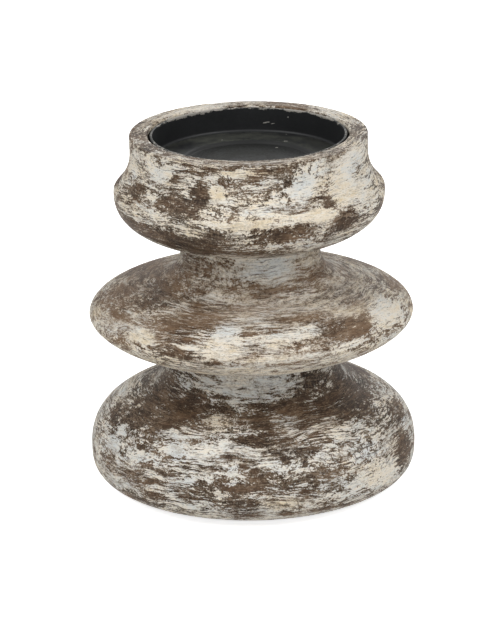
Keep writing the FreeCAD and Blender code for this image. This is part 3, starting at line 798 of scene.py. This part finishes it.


# ---------------------------------------------------------------- where the finish is worn, whole or tinted, and painted shade

# A patch is an angle round from the front, to the right as one faces it, and a height in mm, then its half
# width in degrees, its half height in mm and its strength. These are set one by one and listed from the foot
# up, and the back's come by chance.
# Rings all round the foot's edge, the base's top, the disc's top and under the bowl are partly painted
# shade.
RUBBED_AND_SHADED = [
    (0, 2, 180, 1.2, 0.5), (20, 7, 20, 1, 0.9), (-45, 8, 14, 2, 0.6), (11, 8, 3, 1.5, 1.0),
    (-4, 11, 6, 6, 1.5), (-35, 12, 6, 2.5, 0.6), (-22, 16, 8, 2, 0.8), (19, 17, 4, 3, 0.9),
    (30, 18, 10, 1.5, 0.5), (-43, 18.5, 9, 3, 1.0), (-2, 19.5, 8, 1.2, 0.7), (-15, 20, 9, 1, 0.8),
    (8, 20, 12, 2, 0.6), (68, 21, 8, 8, 1.3), (-12, 21.5, 8, 1.2, 0.6), (-60, 22, 4, 2, 0.7),
    (22, 22, 8, 2, 0.6), (0, 22.5, 5, 2, 0.8), (-33, 24, 7, 1.5, 0.8), (-12, 24, 6, 1.5, 0.7),
    (3, 26, 6, 2.5, 0.6), (28, 26, 8, 2, 0.3), (-52, 27, 6, 3, 0.6), (-14, 27.5, 6, 1.5, 0.6),
    (-28, 29, 7, 1.5, 0.5), (-2, 29, 4, 2.5, 0.9), (-12, 30, 5, 1, 0.5), (-42, 31.5, 7, 3, 0.7),
    (17, 31.5, 8, 3.5, 1.0), (-8, 32, 5, 1, 0.7), (-8, 33, 6, 1, 0.6), (5, 33, 5, 1.6, 0.5),
    (76, 34, 10, 4, 0.8), (-72, 36, 8, 3, 0.8), (-60, 36, 8, 3, 0.7), (-3, 37, 6, 1.5, 0.6),
    (0, 37, 9, 1.8, 0.7), (8, 37, 8, 2.5, 0.8), (18, 37.5, 12, 2, 0.7), (60, 38, 9, 3, 0.7),
    (-58, 39, 7, 3, 0.5), (-55, 39, 16, 4, 0.9), (-65, 40, 8, 3, 0.8), (-45, 41, 12, 3, 0.9),
    (3, 41.5, 6, 2, 1.1), (50, 42, 12, 4, 0.8), (30, 42.5, 12, 3, 0.7), (0, 43, 100, 4, 0.6),
    (-22, 44.5, 10, 1.5, 1.0), (-40, 45, 16, 3, 0.3), (20, 45, 12, 1.5, 0.9), (3, 46.5, 4, 1, 1.0),
    (20, 47, 5, 1.5, 0.9), (72, 47, 16, 7, 1.1), (-66, 48, 16, 6, 1.1), (-40, 48, 10, 2.5, 1.0),
    (32, 48, 8, 2, 1.0), (-20, 49, 8, 1, 1.0), (-6, 53, 6, 0.8, 0.8), (38, 53, 8, 3, 0.8),
    (46, 53, 10, 5, 0.9), (-24, 56, 4, 2, 1.0), (15, 74, 6, 0.8, 0.8), (-15, 75, 6, 0.8, 0.8),
    (2, 76, 14, 1.5, 0.4), (-54, 77.5, 5, 2, 0.8), (-25, 78, 9, 2.2, 0.9), (12, 78.5, 10, 1, 0.7),
    (26, 78.5, 6, 0.8, 0.8), (0, 80, 5, 3, 0.8), (18, 82, 3, 1.5, 0.8), (-31, 83, 9, 3.5, 0.9),
    (38, 83, 13, 3, 1.3), (-60, 84, 8, 1.5, 0.6), (-3, 85, 5, 0.8, 0.8), (-82, 86, 14, 5, 0.7),
    (-35, 86.5, 14, 2.5, 0.25), (-22, 87.5, 12, 1.5, 0.4), (0, 87.5, 100, 4.5, 0.3), (25, 88, 12, 1, 0.8),
    (10, 88.3, 7, 0.8, 0.8), (60, 89, 10, 2, 0.7), (-20, 89.5, 14, 2, 0.9), (-60, 92, 16, 5, 0.75),
    (-40, 93, 10, 2, 0.6), (6, 93, 6, 0.8, 0.9), (-95, 94, 32, 5, 0.9), (8, 94.5, 10, 1.5, 0.7),
    (95, 95, 32, 5, 0.9), (0, 95.5, 180, 4.5, 0.5), (10, 95.5, 22, 2, 0.6), (-15, 96, 14, 2.5, 0.4),
    (50, 96, 18, 4, 0.6), (3, 98, 5, 1.5, 0.8), (-20, 99, 9, 1, 0.7), (50, 99, 8, 2, 0.9),
    (-62, 101, 16, 7, 0.7), (8, 101, 8, 0.8, 0.6), (-38, 104, 18, 4, 0.9), (0, 114, 180, 3, 0.4),
    (5, 118, 14, 2, 0.6), (-24, 120, 15, 5, 1.3), (-42, 122, 13, 5, 1.4), (-60, 123, 12, 4, 1.35),
    (34, 123, 8, 2.5, 0.7), (-14, 126.5, 5, 2, 0.9), (14, 126.5, 13, 4, 1.4), (-75, 127, 8, 4, 0.6),
    (44, 128, 7, 4.5, 1.4), (23, 129, 5, 2.5, 0.9), (-50, 131, 5, 1.5, 0.5), (-30, 134.5, 7, 2.5, 0.9),
    (22, 135.5, 5, 1.5, 0.7), (38, 136, 4, 2.5, 0.75), (-7, 136.5, 5, 1.5, 0.5), (-62, 137.5, 9, 2.5, 0.9),
    (-37, 138, 8, 3, 1.0), (-23, 142, 5, 6, 1.2), (15, 142, 3, 1.5, 0.5), (62, 146, 6, 3, 0.7),
    (-37, 147, 3, 2, 0.9), (20, 147, 3, 2.5, 0.9), (-11, 148, 5, 3, 1.0), (-64, 149, 4, 4, 0.6),
    (-22, 151, 3, 2, 0.8), (-28, 152, 4, 2.5, 0.9), (14, 153, 10, 1.5, 0.8), (-12, 153.5, 14, 1, 0.8),
    (0, 155.2, 50, 0.8, 0.5), (-95, 155.4, 20, 1.2, 0.6), (-60, 155.4, 12, 1, 0.5),
    (60, 155.4, 25, 1.2, 0.5), (100, 155.4, 14, 1.2, 0.5), (160, 155.4, 12, 1.2, 0.4),
]
WHOLE = [
    (10, 12.5, 6, 4.5, 0.4), (50, 17, 14, 5, 0.6), (-20, 24, 20, 2.5, 0.2), (-55, 27, 12, 4, 0.5),
    (45, 28, 10, 4, 0.3), (0, 29, 25, 3, 0.2), (-61, 33, 3, 2.5, 1.2), (-30, 33.5, 18, 3, 0.5),
    (-67, 39, 3, 4, 1.0), (-17, 42, 5, 2, 0.8), (14, 42, 8, 2.5, 0.35), (-6, 54, 24, 5, 0.6),
    (0, 68, 180, 6, 0.1), (12, 73, 12, 1.5, 0.2), (5, 77, 12, 1.6, 0.5), (30, 78, 12, 1.5, 0.6),
    (-14, 79, 7, 3, 0.8), (-43, 81, 7, 3, 0.9), (-3, 83, 14, 1.5, 0.5), (64, 84, 11, 3, 1.0),
    (20, 84.5, 12, 1.5, 0.8), (-10, 85, 6, 2.5, 0.9), (-15, 92.5, 16, 2, 0.5), (14, 103, 25, 6, 0.9),
    (-4, 127.5, 5, 2.5, 0.8), (2, 131.5, 22, 2, 0.9), (-48, 132, 9, 2.5, 0.7), (30, 132.5, 10, 2.5, 0.9),
    (2, 136, 8, 1.5, 0.5), (64, 136, 8, 5, 0.7), (50, 140, 10, 6, 1.3), (-15, 143, 4, 3, 0.6),
    (26, 144, 6, 6, 1.1), (-48, 147, 7, 4, 0.8), (-68, 148, 8, 5, 1.1), (32, 150, 8, 4, 0.7),
    (62, 150, 14, 6, 1.1), (-4, 152, 7, 2, 0.6), (-150, 155.4, 22, 1.5, 0.8), (120, 155.4, 15, 1.5, 0.5),
]
CREAM = [
    (10, 13, 9, 4, 1.0), (50, 17, 14, 6, 0.7), (35, 38, 10, 3, 0.6), (-18, 41.5, 7, 2.5, 1.6),
    (0, 68, 90, 7, 0.5), (5, 77, 12, 2, 0.8), (-12, 80.5, 8, 3, 0.9), (-43, 81, 7, 3, 1.0),
    (48, 85, 10, 2.5, 0.8), (-68, 87, 6, 3, 0.7), (40, 89, 8, 2, 0.5), (0, 122, 10, 3, 0.4),
    (-23, 128, 6, 3, 1.3), (-60, 131, 12, 3, 0.7), (2, 131.5, 40, 2.5, 0.7), (30, 132.5, 10, 2.5, 1.1),
    (48, 138, 10, 4, 0.7), (-15, 143, 6, 3, 0.8), (-60, 144, 6, 3, 0.7), (-1, 152, 14, 2, 1.5),
]
COOL = [
    (-20, 28, 50, 8, 0.5), (45, 28, 10, 4, 0.9), (5, 53, 24, 6, 1.0), (-10, 85, 5, 2.5, 0.9),
    (14, 103, 26, 6, 1.0), (2, 136, 8, 1.5, 0.9), (26, 144, 6, 6, 1.3), (-48, 146, 6, 3, 0.9),
    (62, 150, 12, 5, 0.5),
]
WIPED_ON_DISH = [
    (-143, 154.4, 18, 2, 0.6), (-60, 154.4, 12, 1.2, 0.4), (130, 154.4, 11, 2.4, 0.6),
    (150, 154.4, 8, 1.4, 0.5),
]
CRACKED = [(12, 12, 6, 3, 0.5), (52, 20, 8, 2, 0.7), (44, 28, 9, 4, 0.9)]
# The rings round the disc's top and under the bowl are partly painted shade, greying the wash
SOFT_AND_SHADED = [(-62, 44, 30, 6, 0.4), (0, 81, 180, 4, 0.3), (0, 95, 180, 9, 1.3), (-30, 105, 20, 5, 0.4)]
STRONGEST = 1.3


def round_the_back(count, widest, highest, strongest, seed):
    """Patches by chance for the half that faces away, from the foot to the rim."""
    draw = random.Random(seed)
    return [
        (
            draw.uniform(92, 268), draw.uniform(FOOT / MM, RIM / MM), draw.uniform(0.4, 1) * widest,
            draw.uniform(0.3, 1) * highest, draw.uniform(0.5, 1) * strongest,
        )
        for _ in range(count)
    ]


# The back halves of the rings of painted shade on the base's and disc's tops, and a rub on the rim
RUBBED_AND_SHADED += [(180, 43, 80, 4, 0.6), (180, 87.5, 80, 4.5, 0.3), (178, 155.4, 26, 1.2, 0.25)]
RUBBED_AND_SHADED += round_the_back(84, 12, 4, 1.2, 1)
WHOLE += round_the_back(30, 16, 4, 0.8, 2)
CREAM += round_the_back(22, 14, 4, 1.1, 3)
COOL += round_the_back(12, 14, 5, 1.0, 4)


def charted(mesh, more, less=()):
    """How far the patches of one list outweigh those of the other at each vertex."""
    places = numpy.empty(len(mesh.vertices) * 3)
    mesh.vertices.foreach_get("co", places)
    x, y, z = places.reshape(-1, 3).T
    angle = numpy.degrees(numpy.arctan2(x, -y))
    total = numpy.zeros(len(x))
    for patches, sign in ((more, 1), (less, -1)):
        for middle, height, half_width, half_height, strength in patches:
            across = ((angle - middle + 180) % 360 - 180) / half_width
            up = (z / MM - height) / half_height
            total += sign * strength * numpy.exp(-((across ** 2 + up ** 2) ** 2))
    return numpy.clip(total, -STRONGEST, STRONGEST)


# ---------------------------------------------------------------- the pieces

WOOD_FINISH = whitewash_over_stained_wood()
DISH_FINISH = black_enamel_on_steel()
ZINC_FINISH = zinc_plated_steel()
FELT_FINISH = brown_wool_felt()
FLECK_FINISH = dried_wash()
LATHE = lathe_tree()
HAND_WORK = hand_work_tree()


def wooden_section(node, outline, paleness, warmth):
    """One turned section, with how pale its stain is and how creamy its wash is by and large."""
    piece = made("turned_" + node, outline.mesh(node + "_outline"), WOOD_FINISH, [
        (LATHE, {"Facets": WOOD_FACETS, "Closed": 1}),
        (HAND_WORK, {
            "Out of true": 0.15 * MM, "Ring depth": 0.08 * MM, "Lump depth": 0.1 * MM,
            "Nick depth": 0.45 * MM,
        }),
    ])
    for title, more, less, ground in (
        ("rubbed_and_shaded", RUBBED_AND_SHADED, WHOLE, 0.0),
        ("tint", CREAM, COOL, warmth),
        ("soft", SOFT_AND_SHADED, (), 0.0),
        ("cracked", CRACKED, (), 0.0),
        ("paleness", (), (), paleness),
    ):
        keep_attribute(piece.data, title, charted(piece.data, more, less) + ground)
    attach(piece, "stand")
    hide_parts(node)


wooden_section("base_section", base_outline(), 0.4, -0.1)
wooden_section("disc_section", disc_outline(), 0.66, 0.45)
wooden_section("bowl_section", bowl_outline(), 0.42, 0.5)


def pressed_dish():
    dish = made("pressed_dish", dish_outline().mesh("dish_outline"), DISH_FINISH, [
        (LATHE, {"Facets": DISH_FACETS, "Closed": 0}),
    ])
    keep_attribute(dish.data, "wiped", charted(dish.data, WIPED_ON_DISH))
    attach(dish, "dish")
    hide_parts("candle_dish")


def dish_flecks():
    """The few specks of wash that fell in the dish: on its wall, its ledge and its middle. Each is an angle,
    a radius and a height, then its length and width in mm."""
    wall = DISH_RADIUS - DISH_WALL
    middle = DISH_BOTTOM + DISH_WALL
    ledge = middle + DISH_STEP
    flecks = [
        (169, wall, 148.2 * MM, 1.6, 0.3), (165, wall, 147.8 * MM, 0.9, 0.2),
        (155, wall, 151.3 * MM, 0.35, 0.35), (147, 29.5 * MM, ledge, 0.8, 0.4),
        (155, 39.0 * MM, ledge, 0.3, 0.3), (149, 23.5 * MM, middle, 0.6, 0.4),
        (-158, 30.5 * MM, ledge, 0.3, 0.3), (35, 36.0 * MM, ledge, 0.4, 0.3),
        (-60, 15.0 * MM, middle, 0.3, 0.3),
    ]
    mesh = bpy.data.meshes.new("fleck_places")
    places, facing, sizes = [], [], []
    for angle, radius, height, length, width in flecks:
        turn = math.radians(angle)
        places.append((radius * math.sin(turn), -radius * math.cos(turn), height))
        facing.append((-math.sin(turn), math.cos(turn), 0.0) if radius == wall else (0.0, 0.0, 1.0))
        sizes.append((length * MM, width * MM, 0.15 * MM))
    mesh.from_pydata(places, [], [])
    keep_attribute(mesh, "facing", facing)
    keep_attribute(mesh, "size", sizes)
    specks = made("specks_of_wash", mesh, FLECK_FINISH, [(flecks_tree(), {"Tear": 0.3 * MM})])
    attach(specks, "dish")


def threaded_rod():
    """M8 rod, threaded at both ends, with its ends turned to a bevel."""
    end_radius = ROD_RADIUS - ROD_BEVEL
    corners = [
        (0, ROD_BOTTOM), (end_radius, ROD_BOTTOM), (ROD_RADIUS, ROD_BOTTOM + ROD_BEVEL),
        (ROD_RADIUS, ROD_BOTTOM + ROD_THREAD), (ROD_RADIUS, ROD_TOP - ROD_THREAD),
        (ROD_RADIUS, ROD_TOP - ROD_BEVEL), (end_radius, ROD_TOP), (0, ROD_TOP),
    ]
    steps = [MM, ROUND_STEP, THREAD_STEP, SHANK_STEP, THREAD_STEP, ROUND_STEP, MM]
    outline = Outline()
    for start, end, step in zip(corners, corners[1:], steps):
        outline.walk([start, end], step)
    rod = made("threaded_tie_rod", outline.mesh("rod_outline"), ZINC_FINISH, [
        (LATHE, {"Facets": ROD_FACETS, "Closed": 0}),
        (thread_tree(), {
            "Pitch": 1.25 * MM, "Depth": 0.6 * MM, "Threaded length": ROD_THREAD, "Bottom": ROD_BOTTOM,
            "Top": ROD_TOP, "Radius": ROD_RADIUS,
        }),
    ])
    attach(rod, "stand")
    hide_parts("tie_rod")


def felt_pads():
    """Four round felt pads, with edges that fray round, glued under the foot."""
    corner = 0.4 * MM
    outline = Outline()
    section = [(0, 0), (PAD_RADIUS, 0), (PAD_RADIUS, FOOT), (0, FOOT)]
    outline.walk(eased(section, (corner, corner)), ROUND_STEP)
    pads = made("felt_pads", outline.mesh("pad_outline"), FELT_FINISH, [
        (LATHE, {"Facets": PAD_FACETS, "Closed": 0}),
        (pad_ring_tree(), {
            "Count": PAD_COUNT, "Ring radius": PAD_RING, "First angle": math.radians(45),
            "Nap depth": 0.12 * MM,
        }),
    ])
    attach(pads, "stand")
    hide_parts(*[f"felt_pad_{number + 1}" for number in range(PAD_COUNT)])


pressed_dish()
dish_flecks()
threaded_rod()
felt_pads()
for node in ("lower_washer", "lower_nut", "upper_washer", "upper_nut"):
    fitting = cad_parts[node]
    fitting.data.materials.clear()
    fitting.data.materials.append(ZINC_FINISH)


# ---------------------------------------------------------------- the studio

CAMERA_SEAT = Vector((0.0, -1.556, 0.5938))
CAMERA_AIM = Vector((-0.0006, 0.0, 0.0711))
CAMERA_ROLL = math.radians(-0.92)
CAMERA_LENS = 213.75
LIGHT_AIM = Vector((0.0, 0.0, 0.08))


def facing(seat, target):
    return (target - seat).to_track_quat("-Z", "Y").to_matrix().to_4x4()


def studio_camera():
    camera = bpy.data.objects.new("camera", bpy.data.cameras.new("camera"))
    camera.data.lens = CAMERA_LENS
    turned = facing(CAMERA_SEAT, CAMERA_AIM) @ Matrix.Rotation(CAMERA_ROLL, 4, "Z")
    camera.matrix_world = Matrix.Translation(CAMERA_SEAT) @ turned
    bpy.context.scene.collection.objects.link(camera)
    bpy.context.scene.camera = camera


def rays_that_see_white(tree):
    """1 for what the camera sees, straight, mirrored or through glass, and 0 for what lights the object."""
    path = tree.nodes.new("ShaderNodeLightPath").outputs
    seen = 0.0
    for ray in ("Is Camera Ray", "Is Glossy Ray", "Is Transmission Ray"):
        seen = add(tree, MATH, {"operation": "MAXIMUM", 0: seen, 1: path[ray]})
    return seen


def white_board():
    """The matte white board that the holder stands on. It looks white and keeps a soft shadow."""
    material, tree = new_finish("matte_white_studio_board")
    board = add(tree, "ShaderNodeBsdfDiffuse", {"Color": colour("#efefee")})
    glow = add(tree, "ShaderNodeEmission", {"Color": (1, 1, 1, 1), "Strength": 0.8})
    lit = add(tree, "ShaderNodeAddShader", {0: board, 1: glow})
    seen = add(tree, "ShaderNodeMixShader", {0: rays_that_see_white(tree), 1: board, 2: lit})
    add(tree, "ShaderNodeOutputMaterial", {"Surface": seen})
    reach = 1.3
    corners = [(-reach, -reach, 0), (reach, -reach, 0), (reach, reach, 0), (-reach, reach, 0)]
    mesh = bpy.data.meshes.new("studio_board")
    mesh.from_pydata(corners, [], [(0, 1, 2, 3)])
    mesh.materials.append(material)
    board = bpy.data.objects.new("studio_board", mesh)
    bpy.context.scene.collection.objects.link(board)


def white_world(strength):
    """White to look at, and a dim even light on the object."""
    world = bpy.data.worlds.new("studio_world")
    world.use_nodes = True
    tree = world.node_tree
    tree.nodes.clear()
    level = add(tree, MAP_RANGE, {"Value": rays_that_see_white(tree), "To Min": strength, "To Max": 1.0})
    sky = add(tree, "ShaderNodeBackground", {"Color": (1, 1, 1, 1), "Strength": level})
    add(tree, "ShaderNodeOutputWorld", {"Surface": sky})
    bpy.context.scene.world = world


def softbox(name, seat, size, power):
    light = bpy.data.lights.new(name, "AREA")
    light.energy, light.size = power, size
    lamp = bpy.data.objects.new(name, light)
    lamp.matrix_world = Matrix.Translation(seat) @ facing(Vector(seat), LIGHT_AIM)
    bpy.context.scene.collection.objects.link(lamp)


studio_camera()
white_board()
white_world(0.1)
softbox("left_softbox", (-1.2, -0.85, 1.45), 1.1, 24.5)
softbox("right_softbox", (1.25, -0.8, 1.4), 1.1, 23.5)
softbox("front_softbox", (0.0, -1.6, 0.45), 0.9, 3.8)
softbox("back_softbox", (0.3, 1.7, 0.9), 1.1, 8.0)
bpy.context.scene.view_settings.view_transform = "Standard"
